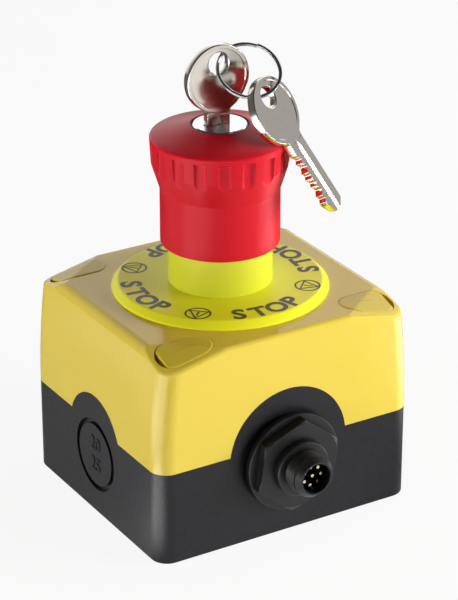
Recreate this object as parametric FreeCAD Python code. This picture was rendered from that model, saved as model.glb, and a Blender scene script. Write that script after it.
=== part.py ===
import FreeCAD
import Part
import math
import os

# Key-release emergency stop button on a small surface-mounted enclosure.
# Millimetres, +Z along the button's axis, Z = 0 on the enclosure's underside,
# the plug connector on the -Y side.

os.makedirs("parts", exist_ok=True)

# Enclosure: overall form
box_length = 80.5
box_width = 71.5
base_height = 27.2
cover_height = 32.9
wall = 2.5
corner_radius = 5.0
side_crown = 218.0
side_round = 3.0
edge_round = 1.2
foot_round = 0.6
facet_along_length = 22.0
facet_along_width = 16.0
facet_slope = 20.0

# Cable entries in the base
port_height = 22.4
port_tab_height = 25.0
port_tab_radius = 18.45
side_tab_height = 21.9
side_tab_radius = 14.2
knockout_height = 18.0
knockout_radius = 10.6
knockout_groove = 1.5
knockout_depth = 1.2
rear_knockout_radius = 12.6

# Cover screws, their bosses and caps
cap_length = 16.3
cap_width = 9.7
cap_margin_x = 3.25
cap_margin_y = 1.55
cap_edge = 0.3
cap_pry_gap = 1.4
cap_depth = 6.0
cap_hollow = 1.5
cap_wall = 1.4
column_wall = 1.6
screw_radius = 2.0
screw_head_radius = 3.5
screw_head_height = 2.8
screw_head_depth = 5.0
screw_reach = 14.0
screw_slot_width = 1.0
screw_slot_depth = 1.2
boss_wall = 2.5
mount_hole_radius = 2.25
mount_hole_spacing = 51.0
mount_pad_radius = 5.0
mount_pad_height = 1.6

# Seal between base and cover
gasket_inset = 0.8
gasket_width = 1.1
gasket_height = 1.0

# Legend plate, collar and the bushing that clamps them
legend_radius = 30.0
legend_thickness = 2.3
legend_bevel = 1.2
legend_rim = 0.7
neck_radius = 11.0
collar_radius = 14.37
collar_wall = 1.7
collar_height = 22.0
collar_edge = 0.4
seal_height = 1.0
seal_width = 1.6
bushing_wall = 1.3
bushing_floor = 4.6
nut_height = 5.0
nut_wall = 4.6
nut_notches = 6
nut_notch_depth = 1.4
nut_notch_width = 3.6

# Red head
press_travel = 4.5
head_height = 30.7
head_gap = 11.4
head_radius = 19.14
head_draft = 0.4
rim_height = 7.6
cone_height = 7.3
crown_height = 3.1
overpress_room = 3.0
rim_round = 0.9
skirt_radius = 16.45
skirt_wall = 1.6
flute_count = 18
flute_radius = 2.2
flute_depth = 1.05
flute_top_band = 1.9
flute_turn = 3.0

# Lock, stem and latch
lock_eye_radius = 8.0
lock_seal_width = 0.55
lock_face_height = 2.2
lock_face_edge = 0.25
lock_seal_drop = 0.35
barrel_radius = 6.6
barrel_length = 22.4
core_radius = 5.5
core_lip = 0.6
core_lip_height = 1.0
core_length = 23.6
lock_nut_height = 2.4
lock_nut_wall = 1.0
stem_wall = 2.0
cam_shaft_radius = 2.4
cam_height = 3.0
cam_flange_height = 1.2
cam_lobe_radius = 4.4
cam_flat = 3.0
cam_depth = 42.0
pawl_width = 4.0
pawl_height = 3.0
pawl_inner = 5.2
pusher_length = 27.0
pusher_width = 8.0
pusher_thickness = 2.6
pusher_corner = 1.5
spring_wire = 1.1
spring_turns = 6
wire_sides = 6

# Keys and split ring
bow_radius = 9.5
bow_thickness = 2.4
bow_recess = 0.2
bow_rim = 1.1
bow_ridge = 6.0
bow_blend = 1.2
eye_radius = 3.0
eye_edge = 0.4
eye_offset = 4.2
key_bow_height = 13.1
neck_length = 0.6
blade_width = 7.0
blade_thickness = 2.2
blade_reach = 19.2
blade_groove_width = 2.4
blade_groove_depth = 0.6
tip_flat = 2.8
tip_bevel_left = 3.4
tip_bevel_right = 1.6
bit_count = 6
bit_first = 5.4
bit_depth = 1.5
bit_least = 0.6
bit_pitch = 2.5
bit_flat = 0.6
key_shift = 1.0
keyway_clearance = 0.2
ring_radius = 8.48
ring_wire_width = 0.85
ring_wire_height = 0.42
ring_turn_gap = 0.04
ring_lean = 38.25
ring_heading = -105.26
ring_key_angle = 249.94
ring_key_side = 0.33
ring_key_drop = 0.48
ring_spare_angle = 15.44
ring_end_angle = 152.0
spare_hang = 0.75
spare_yaw = 34.79
spare_pitch = -11.72
spare_roll = -29.55

# Contact blocks under the carrier
carrier_thickness = 2.8
carrier_length = 31.0
leg_thickness = 3.0
hook_thickness = 1.2
hook_reach = 5.0
block_pitch = 10.0
block_length = 38.0
block_height = 21.5
block_wall = 1.4
block_gap = 0.2
chamber_length = 18.0
end_wall = 1.4
plunger_width = 3.2
plunger_depth = 5.0
plunger_length = 15.4
plunger_lip = 0.6
bridge_length = 15.0
bridge_width = 3.6
bridge_thickness = 0.7
rivet_radius = 1.2
rivet_height = 0.6
rivet_margin = 0.3
strip_width = 4.2
strip_thickness = 0.8
strip_inner = 4.6
strip_outer = 17.6
strip_drop = 6.0
contact_spring_radius = 1.5
contact_spring_wire = 0.5
contact_spring_turns = 4
terminal_screw_radius = 1.5
terminal_screw_length = 7.0
terminal_head_radius = 2.6
terminal_head_height = 1.8
terminal_slot = 0.8
terminal_place = 14.2

# Plug connector on the -Y face
spigot_radius = 6.0
spigot_bore = 4.3
spigot_length = 4.8
spigot_nose = 1.5
spigot_nose_step = 1.2
shoulder_radius = 8.0
shoulder_length = 2.2
hex_width = 23.5
hex_length = 2.8
hex_chamfer = 0.7
hex_chamfer_reach = 1.2
hex_turn = -8.5
flange_radius = 14.2
flange_length = 1.7
port_seal_radius = 13.0
port_seal_length = 1.2
port_neck_radius = 10.0
port_neck_length = 8.8
port_nut_wall = 3.4
port_nut_length = 4.2
insert_depth = 7.9
insert_front = 5.0
insert_rear_radius = 8.2
insert_rear_length = 5.0
pin_radius = 0.45
pin_circle = 2.75
pin_short = 2.2
pin_tail = 2.5
pin_ring_count = 7
pin_turn = 12.0
coding_rib_width = 0.9
coding_rib_height = 0.7

# Leads
lead_radius = 0.7
lead_bend = 2.0
lead_floor_clear = 6.0
lead_rear_clear = 4.0

# Clearances
running_fit = 0.06
sliding_fit = 0.15
seat_clear = 0.5

V = FreeCAD.Vector
UP = V(0, 0, 1)
ORIGIN = V(0, 0, 0)


def box(x0, x1, y0, y1, z0, z1):
    return Part.makeBox(x1 - x0, y1 - y0, z1 - z0, V(x0, y0, z0))


def cylinder(radius, z0, z1, x=0.0, y=0.0):
    return Part.makeCylinder(radius, z1 - z0, V(x, y, z0), UP)


def tube(outer, inner, z0, z1, x=0.0, y=0.0):
    return cylinder(outer, z0, z1, x, y).cut(cylinder(inner, z0 - 1, z1 + 1, x, y))


def revolve(profile):
    """Turn a closed (radius, height) outline about the Z axis."""
    points = [V(r, 0, z) for r, z in profile]
    face = Part.Face(Part.makePolygon(points + points[:1]))
    return face.revolve(ORIGIN, UP, 360)


def prism(outline, z0, z1):
    points = [V(x, y, z0) for x, y in outline]
    face = Part.Face(Part.makePolygon(points + points[:1]))
    return face.extrude(V(0, 0, z1 - z0))


def fuse(shapes):
    body = shapes[0]
    if len(shapes) > 1:
        body = body.multiFuse(shapes[1:])
    return body.removeSplitter()


def mirrored_corners(shape):
    """The four copies of a piece that stands in the +X +Y corner."""
    flip_x = shape.mirror(ORIGIN, V(1, 0, 0))
    flip_y = shape.mirror(ORIGIN, V(0, 1, 0))
    return [shape, flip_x, flip_y, flip_x.mirror(ORIGIN, V(0, 1, 0))]


def coil(radius, wire, turns, z0, z1):
    """A compression spring of drawn wire between two seats."""
    height = z1 - z0 - wire
    path = Part.makeHelix(height / turns, height, radius)
    path.translate(V(0, 0, z0 + wire / 2))
    corners = []
    for i in range(wire_sides):
        angle = math.pi * (2 * i + 1) / wire_sides
        x = radius + wire / 2 * math.cos(angle)
        corners.append(V(x, 0, z0 + wire / 2 * (1 + math.sin(angle))))
    section = Part.makePolygon(corners + corners[:1])
    return Part.Wire(path.Edges).makePipeShell([section], True, True)


def save(name, shape):
    if isinstance(shape, list):
        shape = Part.makeCompound(shape)
    shape.exportStep("parts/" + name + ".step")


half_x = box_length / 2
half_y = box_width / 2
top_z = base_height + cover_height


# Enclosure form, and the parting line that the entry tabs raise
def facet_cutter(drop):
    """Wedge above the sloped facet in the +X +Y corner."""
    leg_x = facet_along_length
    leg_y = facet_along_width
    span = math.hypot(leg_x, leg_y)
    out = V(leg_y / span, leg_x / span, 0)
    along = V(leg_x / span, -leg_y / span, 0)
    start = V(half_x - leg_x, half_y, top_z - drop) - along * span
    fall = math.tan(math.radians(facet_slope))
    far = start + out * (3 * span) - UP * (3 * span * fall)
    above = UP * (4 * span)
    face = Part.Face(Part.makePolygon([start, far, far + above, start + above, start]))
    return face.extrude(along * (3 * span))


def facet_drop(point):
    """How far the facets' planes lie below the top, over a place in plan."""
    span = math.hypot(facet_along_length, facet_along_width)
    out = (abs(point.x) - half_x + facet_along_length) * facet_along_width / span
    out += (abs(point.y) - half_y) * facet_along_length / span
    return out * math.tan(math.radians(facet_slope))


def crowned_block(hx, hy, top, crown):
    """Block whose two end faces lean inwards above the parting line, on an arc."""
    rise = top - base_height
    lean = crown - math.sqrt(crown ** 2 - rise ** 2)
    half_lean = crown - math.sqrt(crown ** 2 - (rise / 2) ** 2)
    middle = base_height + rise / 2
    low_right = V(hx, -hy, base_height)
    high_right = V(hx - lean, -hy, top)
    low_left = V(-hx, -hy, base_height)
    high_left = V(lean - hx, -hy, top)
    outline = [
        Part.makeLine(V(-hx, -hy, 0), V(hx, -hy, 0)),
        Part.makeLine(V(hx, -hy, 0), low_right),
        Part.Arc(low_right, V(hx - half_lean, -hy, middle), high_right).toShape(),
        Part.makeLine(high_right, high_left),
        Part.Arc(high_left, V(half_lean - hx, -hy, middle), low_left).toShape(),
        Part.makeLine(low_left, V(-hx, -hy, 0))]
    return Part.Face(Part.Wire(outline)).extrude(V(0, 2 * hy, 0))


def enclosure_form(inset):
    """Form of the closed enclosure with plain edges, moved inwards by inset."""
    hx = half_x - inset
    hy = half_y - inset
    top = top_z - inset
    crown = side_crown - inset
    form = crowned_block(hx, hy, top, crown)
    corners = [e for e in form.Edges if abs(e.Vertexes[0].Z - e.Vertexes[1].Z) > 1]
    form = form.makeFillet(corner_radius - inset, corners)
    side = crowned_block(hx, half_y + 1, top, crown)
    tops = [e for e in side.Edges if abs(e.CenterOfMass.z - top) < 0.01 and abs(e.CenterOfMass.x) > 1]
    form = form.common(side.makeFillet(side_round - inset / 2, tops))
    for cutter in mirrored_corners(facet_cutter(inset)):
        form = form.cut(cutter)
    return form


def soft_edges(form):
    """Round the edges of the facets, of the long top sides and of the foot."""
    edges = []
    for edge in form.Edges:
        middle = edge.CenterOfMass
        on_facet = abs(top_z - facet_drop(middle) - middle.z) < 0.01
        on_long_side = abs(middle.z - top_z) < 0.01 and abs(middle.y) > half_y - 1
        if on_facet or on_long_side:
            edges.append(edge)
    form = form.makeFillet(edge_round, edges)
    foot = [e for e in form.Edges if e.BoundBox.ZMax < 0.01]
    return form.makeFillet(foot_round, foot)


def base_zone(grow):
    """Everything below the parting line, with the entry tabs, grown by grow."""
    zone = [box(-half_x - 1, half_x + 1, -half_y - 1, half_y + 1, -1, base_height + grow)]
    reach = wall + 1
    for side in (-1, 1):
        start = V(0, side * (half_y + 1), port_tab_height)
        zone.append(Part.makeCylinder(port_tab_radius + grow, reach, start, V(0, -side, 0)))
        start = V(side * (half_x + 1), 0, side_tab_height)
        zone.append(Part.makeCylinder(side_tab_radius + grow, reach, start, V(-side, 0, 0)))
    return zone[0].multiFuse(zone[1:])


cap_outer_x = half_x - cap_margin_x
cap_inner_x = cap_outer_x - cap_length
cap_outer_y = half_y - cap_margin_y
cap_inner_y = cap_outer_y - cap_width


def cap_outline(grow):
    """Plan of a cover cap's pocket: a slot with round ends, grown by grow."""
    radius = cap_width / 2
    mid_y = cap_inner_y + radius
    x0 = cap_inner_x + radius
    x1 = cap_outer_x - radius
    r = radius + grow
    ends = [cylinder(r, 0, top_z + 1, x0, mid_y), cylinder(r, 0, top_z + 1, x1, mid_y)]
    middle = box(x0, x1, mid_y - r, mid_y + r, 0, top_z + 1)
    return fuse([middle] + ends)


outer_form = soft_edges(enclosure_form(0.0))
inner_form = enclosure_form(wall).cut(box(-half_x, half_x, -half_y, half_y, -1, wall))
mid_form = enclosure_form(wall / 2)
shell = outer_form.cut(inner_form)
screw_x = (cap_inner_x + cap_outer_x) / 2
screw_y = (cap_inner_y + cap_outer_y) / 2
seat_z = top_z - cap_depth - screw_head_depth

# Seal in a groove of the cover's edge
rim_outer = enclosure_form(gasket_inset)
rim_inner = enclosure_form(gasket_inset + gasket_width)
rim = rim_outer.cut(rim_inner).common(box(-half_x, half_x, -half_y, half_y, wall * 2, top_z - wall * 3))
groove = rim.common(base_zone(gasket_height))
cover_gasket = groove.cut(base_zone(0.0))

# Base: tray with bosses, entry tabs, knock-outs and fixing holes
base = shell.common(base_zone(0.0))
boss = cylinder(screw_radius + boss_wall, wall / 2, base_height, screw_x, screw_y).common(mid_form)
base = fuse([base] + mirrored_corners(boss))
screw_bottom = base_height - screw_reach
pilot = cylinder(screw_radius + running_fit, screw_bottom - seat_clear, base_height + 1, screw_x, screw_y)
for hole in mirrored_corners(pilot):
    base = base.cut(hole)
for side in (-1, 1):
    x = side * mount_hole_spacing / 2
    base = base.fuse(cylinder(mount_pad_radius, wall / 2, wall + mount_pad_height, x, 0))
    base = base.cut(cylinder(mount_hole_radius, -1, wall + mount_pad_height + 1, x, 0))
    start = V(side * half_x, 0, knockout_height)
    ring_out = Part.makeCylinder(knockout_radius, knockout_depth, start, V(-side, 0, 0))
    ring_in = Part.makeCylinder(knockout_radius - knockout_groove, knockout_depth, start, V(-side, 0, 0))
    base = base.cut(ring_out.cut(ring_in))
start = V(0, half_y, port_height)
ring_out = Part.makeCylinder(rear_knockout_radius, knockout_depth, start, V(0, -1, 0))
ring_in = Part.makeCylinder(rear_knockout_radius - knockout_groove, knockout_depth, start, V(0, -1, 0))
base = base.cut(ring_out.cut(ring_in))
start = V(0, -half_y - 1, port_height)
port_hole = Part.makeCylinder(port_neck_radius + sliding_fit, wall * 3, start, V(0, 1, 0))
base = base.cut(port_hole).removeSplitter()

# Cover: shell with screw columns, cap pockets and the button's hole
pocket_floor = top_z - cap_depth
column = cap_outline(column_wall).common(mid_form).common(box(0, half_x, 0, half_y, base_height, top_z))
cover = fuse([shell.cut(base_zone(0.0))] + mirrored_corners(column.cut(base_zone(0.0))))
pocket = cap_outline(0.0).common(box(0, half_x, 0, half_y, pocket_floor, top_z + 1))
head_room = cylinder(screw_head_radius + sliding_fit, seat_z, pocket_floor + 1, screw_x, screw_y)
through = cylinder(screw_radius + sliding_fit, base_height - 1, seat_z + 1, screw_x, screw_y)
for cutter in mirrored_corners(fuse([pocket, head_room, through])):
    cover = cover.cut(cutter)
cover = cover.cut(groove)
cover = cover.cut(cylinder(neck_radius + sliding_fit, top_z - wall - 1, top_z + 1)).removeSplitter()

# Caps, flush with top and facet, cut back at one end for a pry gap
cap = cap_outline(-sliding_fit).common(outer_form)
cap_end = cap_outer_x - cap_pry_gap
cap = cap.common(box(0, cap_end, 0, half_y, pocket_floor, top_z + 1))
hollow = cap_outline(-sliding_fit - cap_wall)
hollow_top = pocket_floor + cap_hollow
hollow = hollow.common(box(0, cap_end - cap_wall, 0, half_y, pocket_floor - 1, hollow_top))
cap = cap.cut(hollow).removeSplitter()


def is_wall(face):
    """Whether a face stands upright."""
    u0, u1, v0, v1 = face.ParameterRange
    return abs(face.normalAt((u0 + u1) / 2, (v0 + v1) / 2).z) < 0.01


rim_edges = []
for edge in cap.Edges:
    walls = [is_wall(face) for face in cap.ancestorsOfType(edge, Part.Face)]
    if edge.BoundBox.ZMin > hollow_top and sorted(walls) == [False, True]:
        rim_edges.append(edge)
cover_caps = mirrored_corners(cap.makeFillet(cap_edge, rim_edges))

# Cover screws
screw = cylinder(screw_head_radius, seat_z, seat_z + screw_head_height, screw_x, screw_y)
screw = fuse([screw, cylinder(screw_radius, screw_bottom, seat_z, screw_x, screw_y)])
slot_top = seat_z + screw_head_height
slot = box(screw_x - screw_head_radius, screw_x + screw_head_radius, screw_y - screw_slot_width / 2,
           screw_y + screw_slot_width / 2, slot_top - screw_slot_depth, slot_top)
cover_screws = mirrored_corners(screw.cut(slot))

save("enclosure_base", base)
save("enclosure_cover", cover)
save("cover_gasket", cover_gasket)
save("cover_caps", cover_caps)
save("cover_screws", cover_screws)

# Legend plate with a bevelled rim
legend_top = top_z + legend_thickness
legend_plate = revolve([
    (neck_radius + sliding_fit, top_z),
    (legend_radius, top_z),
    (legend_radius, top_z + legend_rim),
    (legend_radius - legend_bevel, legend_top),
    (neck_radius + sliding_fit, legend_top)])
save("legend_plate", legend_plate)

# Collar, the seal in its foot, and the bushing inside it
collar_top = legend_top + collar_height
collar_inner = collar_radius - collar_wall
collar = revolve([
    (collar_inner, legend_top),
    (collar_radius, legend_top),
    (collar_radius, collar_top - collar_edge),
    (collar_radius - collar_edge, collar_top),
    (collar_inner, collar_top)])
save("collar", collar)

stem_bore = barrel_radius + running_fit
stem_radius = stem_bore + stem_wall
guide_bore = stem_radius + running_fit
spring_room = collar_inner - bushing_wall
neck_bottom = top_z - wall - nut_height - carrier_thickness
spring_seat = legend_top + bushing_floor
bushing = revolve([
    (guide_bore, neck_bottom),
    (neck_radius, neck_bottom),
    (neck_radius, legend_top + seal_height),
    (collar_inner, legend_top + seal_height),
    (collar_inner, collar_top),
    (spring_room, collar_top),
    (spring_room, spring_seat),
    (guide_bore, spring_seat)])
seal_inner = collar_inner - seal_width
front_seal = tube(collar_inner, max(seal_inner, neck_radius), legend_top, legend_top + seal_height)

# Ring nut with spanner notches under the cover
nut_top = top_z - wall
nut_bottom = nut_top - nut_height
nut_radius = neck_radius + nut_wall
ring_nut = tube(nut_radius, neck_radius + running_fit, nut_bottom, nut_top)
for i in range(nut_notches):
    notch = box(nut_radius - nut_notch_depth, nut_radius + 1, -nut_notch_width / 2, nut_notch_width / 2,
                nut_bottom, nut_bottom + nut_height / 2)
    ring_nut = ring_nut.cut(notch.rotate(ORIGIN, UP, i * 360 / nut_notches))
save("front_seal", front_seal)
save("ring_nut", ring_nut)

# Red head: crowned top, fluted rim, cone and skirt
skirt_bottom = legend_top + head_gap
rim_z = skirt_bottom + head_height
face_z = rim_z + crown_height
lock_seat = face_z - lock_face_height
ceiling = collar_top + press_travel + overpress_room
skirt_inner = skirt_radius - skirt_wall
cone_top = rim_z - rim_height
cone_bottom = cone_top - cone_height
head = revolve([
    (stem_radius + running_fit, ceiling),
    (skirt_inner, ceiling),
    (skirt_inner, skirt_bottom),
    (skirt_radius, skirt_bottom),
    (skirt_radius, cone_bottom),
    (head_radius - head_draft, cone_top),
    (head_radius, rim_z - rim_round),
    (head_radius - rim_round, rim_z),
    (lock_eye_radius, face_z),
    (lock_eye_radius, lock_seat),
    (stem_radius + running_fit, lock_seat)])
flute_place = head_radius - flute_depth + flute_radius
for i in range(flute_count):
    angle = math.radians(flute_turn + i * 360 / flute_count)
    x = flute_place * math.cos(angle)
    y = flute_place * math.sin(angle)
    head = head.cut(cylinder(flute_radius, cone_bottom, rim_z - flute_top_band, x, y))
save("mushroom_head", head)

# Lock barrel, its seal, nut, core and release cam
face_radius = lock_eye_radius - lock_seal_width
barrel_bottom = face_z - barrel_length
core_bottom = face_z - core_length
core_bore = core_radius + running_fit
lip_radius = core_radius + core_lip
barrel = revolve([
    (core_bore, barrel_bottom),
    (barrel_radius, barrel_bottom),
    (barrel_radius, lock_seat),
    (face_radius, lock_seat),
    (face_radius, face_z - lock_face_edge),
    (face_radius - lock_face_edge, face_z),
    (lip_radius + running_fit, face_z),
    (lip_radius + running_fit, face_z - core_lip_height),
    (core_bore, face_z - core_lip_height)])
lock_seal = tube(lock_eye_radius, face_radius, lock_seat, face_z - lock_seal_drop)
shoulder_z = barrel_bottom + lock_nut_height
lock_nut_radius = stem_bore + lock_nut_wall
lock_nut = tube(lock_nut_radius, barrel_radius, barrel_bottom, shoulder_z)
core = revolve([
    (0, core_bottom),
    (core_radius, core_bottom),
    (core_radius, face_z - core_lip_height),
    (lip_radius, face_z - core_lip_height),
    (lip_radius, face_z),
    (0, face_z)])
slot_half = blade_width / 2 + keyway_clearance
key_x = -key_shift
keyway = box(key_x - slot_half, key_x + slot_half, -blade_thickness / 2 - keyway_clearance,
             blade_thickness / 2 + keyway_clearance, face_z - blade_reach - seat_clear, face_z + 1)
core = core.cut(keyway)
save("lock_barrel", barrel)
save("lock_seal", lock_seal)
save("lock_nut", lock_nut)
save("lock_core", core)

cam_top = core_bottom
cam_foot = face_z - cam_depth - cam_height
cam_disc = cylinder(cam_lobe_radius, cam_foot, cam_foot + cam_height)
flats = box(-cam_lobe_radius, cam_lobe_radius, -cam_flat, cam_flat, cam_foot, cam_foot + cam_height)
cam_disc = cam_disc.common(flats)
cam_flange = cylinder(core_radius + core_lip, cam_top - cam_flange_height, cam_top)
release_cam = fuse([cam_disc, cylinder(cam_shaft_radius, cam_foot, cam_top), cam_flange])
save("release_cam", release_cam)

# Stem: carries the lock, guides in the bushing, opens for the pawls
pusher_top = neck_bottom - seat_clear
lower_bore = lock_nut_radius + running_fit
stem = revolve([
    (lower_bore, pusher_top),
    (stem_radius, pusher_top),
    (stem_radius, lock_seat),
    (stem_bore, lock_seat),
    (stem_bore, shoulder_z),
    (lower_bore, shoulder_z)])
pawl_z = cam_foot
window = box(-pawl_width / 2 - running_fit, pawl_width / 2 + running_fit, -stem_radius - 1, stem_radius + 1,
             pawl_z - running_fit, pawl_z + pawl_height + running_fit)
stem = stem.cut(window)
pawls = []
for side in (-1, 1):
    y_inner = side * pawl_inner
    y_outer = side * (stem_radius + 1)
    block = box(-pawl_width / 2, pawl_width / 2, min(y_inner, y_outer), max(y_inner, y_outer),
                pawl_z, pawl_z + pawl_height)
    pawls.append(block.common(cylinder(stem_radius - sliding_fit, pawl_z, pawl_z + pawl_height)))
groove_top = pawl_z + pawl_height - press_travel + sliding_fit
groove_bottom = pawl_z - press_travel - sliding_fit
latch_groove = cylinder((guide_bore + neck_radius) / 2, groove_bottom, groove_top)
bushing = bushing.cut(latch_groove)
save("bushing", bushing)
save("stem", stem)
save("latch_pawls", pawls)

# Pusher plate under the stem, and the return spring round it
pusher_bottom = pusher_top - pusher_thickness
pusher_x = pusher_length / 2
pusher_y = pusher_width / 2
pusher = box(-pusher_x, pusher_x, -pusher_y, pusher_y, pusher_bottom, pusher_top)
ends = [e for e in pusher.Edges if abs(e.Vertexes[0].Z - e.Vertexes[1].Z) > 1]
pusher = pusher.makeFillet(pusher_corner, ends)
spigot = cylinder(lower_bore - running_fit, pusher_top, pusher_top + pusher_thickness)
pusher = fuse([pusher, spigot.common(box(-half_x, half_x, -pusher_y, pusher_y, 0, top_z))])
save("pusher_plate", pusher)
return_spring = coil((stem_radius + spring_room) / 2, spring_wire, spring_turns, spring_seat, ceiling)
save("return_spring", return_spring)


# Keys: one blank, used for the key in the lock and for the spare
def key_blank():
    """Key with its bow's centre at the origin, tip towards -Z, faces on +-Y."""
    half = bow_thickness / 2
    hw = blade_width / 2
    tip_z = -(key_bow_height + blade_reach)
    neck_end = -(bow_radius + neck_length)
    bow = Part.makeCylinder(bow_radius, bow_thickness, V(0, half, 0), V(0, -1, 0))
    bow = fuse([bow, box(-hw, hw, -half, half, neck_end, 0)])
    inner = [e for e in bow.Edges if e.BoundBox.YLength > half and e.BoundBox.XLength < 0.01
             and neck_end + 0.01 < e.CenterOfMass.z < 0 and abs(abs(e.CenterOfMass.x) - hw) < 0.01]
    bow = bow.makeFillet(bow_blend, inner)
    outline = [(-hw, 0), (-hw, tip_z + tip_bevel_left), (-tip_flat / 2, tip_z), (tip_flat / 2, tip_z),
               (hw, tip_z + tip_bevel_right), (hw, 0)]
    points = [V(x, -blade_thickness / 2, z) for x, z in outline]
    blade = Part.Face(Part.makePolygon(points + points[:1])).extrude(V(0, blade_thickness, 0))
    for i in range(bit_count):
        z = tip_z + bit_first + i * bit_pitch
        share = 2 * i % 3 / 2
        depth = bit_depth * (bit_least + (1 - bit_least) * share)
        rise = depth + bit_flat / 2
        points = [V(-hw, -half, z - rise), V(-hw + depth, -half, z - bit_flat / 2),
                  V(-hw + depth, -half, z + bit_flat / 2), V(-hw, -half, z + rise)]
        blade = blade.cut(Part.Face(Part.makePolygon(points + points[:1])).extrude(V(0, bow_thickness, 0)))
    key = fuse([bow, blade])
    for side in (-1, 1):
        face = Part.makeCylinder(bow_radius - bow_rim, bow_recess, V(0, side * half, 0), V(0, -side, 0))
        keep = box(-bow_radius, bow_radius, -half, half, -bow_ridge, bow_radius)
        key = key.cut(face.common(keep))
        y = side * blade_thickness / 2
        slot_y = y - side * blade_groove_depth
        slot = box(-blade_groove_width / 2, blade_groove_width / 2, min(y, slot_y), max(y, slot_y),
                   tip_z - 1, neck_end)
        key = key.cut(slot)
        start = V(0, side * (half - bow_recess - eye_edge), eye_offset)
        key = key.cut(Part.makeCone(eye_radius, eye_radius + eye_edge, eye_edge, start, V(0, side, 0)))
    eye = Part.makeCylinder(eye_radius, bow_thickness, V(0, -half, eye_offset), V(0, 1, 0))
    return key.cut(eye).removeSplitter()


blank = key_blank()
bow_centre = V(key_x, 0, face_z + key_bow_height)
key = blank.copy()
key.translate(bow_centre)
save("key", key)

# Split ring through the key's eye
ring_rotation = FreeCAD.Rotation(UP, ring_heading).multiply(FreeCAD.Rotation(V(0, 1, 0), ring_lean))


def on_ring(angle):
    a = math.radians(angle)
    return ring_rotation.multVec(V(ring_radius * math.cos(a), ring_radius * math.sin(a), 0))


eye_point = bow_centre + V(ring_key_side, 0, eye_offset - ring_key_drop)
ring_centre = eye_point - on_ring(ring_key_angle)
pitch = ring_wire_height + ring_turn_gap
path = Part.makeHelix(pitch, 2 * pitch, ring_radius)
half_w = ring_wire_width / 2
half_h = ring_wire_height / 2
corners = [V(ring_radius - half_w, 0, -half_h), V(ring_radius + half_w, 0, -half_h),
           V(ring_radius + half_w, 0, half_h), V(ring_radius - half_w, 0, half_h)]
section = Part.makePolygon(corners + corners[:1])
split_ring = Part.Wire(path.Edges).makePipeShell([section], True, True)
split_ring.translate(V(0, 0, -pitch))
split_ring.rotate(ORIGIN, UP, ring_end_angle)
split_ring.Placement = FreeCAD.Placement(ring_centre, ring_rotation).multiply(split_ring.Placement)
save("split_ring", split_ring)

# Spare key hanging on the ring, leaning on the head's rim
spare_rotation = FreeCAD.Rotation(spare_yaw, spare_pitch, spare_roll)
spare_eye = ring_centre + on_ring(ring_spare_angle) + spare_rotation.multVec(V(0, 0, -spare_hang))
spare_centre = spare_eye - spare_rotation.multVec(V(0, 0, eye_offset))
spare_key = blank.copy()
spare_key.Placement = FreeCAD.Placement(spare_centre, spare_rotation)
save("spare_key", spare_key)

# Carrier clipped on the bushing, with legs and hooks for the contact blocks
plunger_top = pusher_bottom
block_top = plunger_top - press_travel - seat_clear
block_half = block_length / 2
leg_outer = block_half
carrier_half = carrier_length / 2
hook_y = leg_outer + hook_thickness
carrier = box(-carrier_half, carrier_half, -hook_y, hook_y, neck_bottom, nut_bottom)
carrier = carrier.cut(cylinder(neck_radius + running_fit, neck_bottom - 1, nut_bottom + 1))
for side in (-1, 1):
    y0 = side * (leg_outer - leg_thickness)
    y1 = side * hook_y
    leg = box(-carrier_half, carrier_half, min(y0, y1), max(y0, y1), block_top, neck_bottom)
    y0 = side * (leg_outer + sliding_fit)
    hook = box(-carrier_half, carrier_half, min(y0, y1), max(y0, y1), block_top - hook_reach, block_top)
    carrier = fuse([carrier, leg, hook])
save("contact_carrier", carrier)


# Contact blocks: two that open and one that closes
def strip_height(closing):
    """Underside of the fixed contacts; the closing pair leaves the travel free above it."""
    if not closing:
        return block_top - strip_drop
    bridge_stack = bridge_thickness + 2 * rivet_height + strip_thickness
    return block_top - block_wall - seat_clear - bridge_stack - press_travel - sliding_fit


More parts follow.
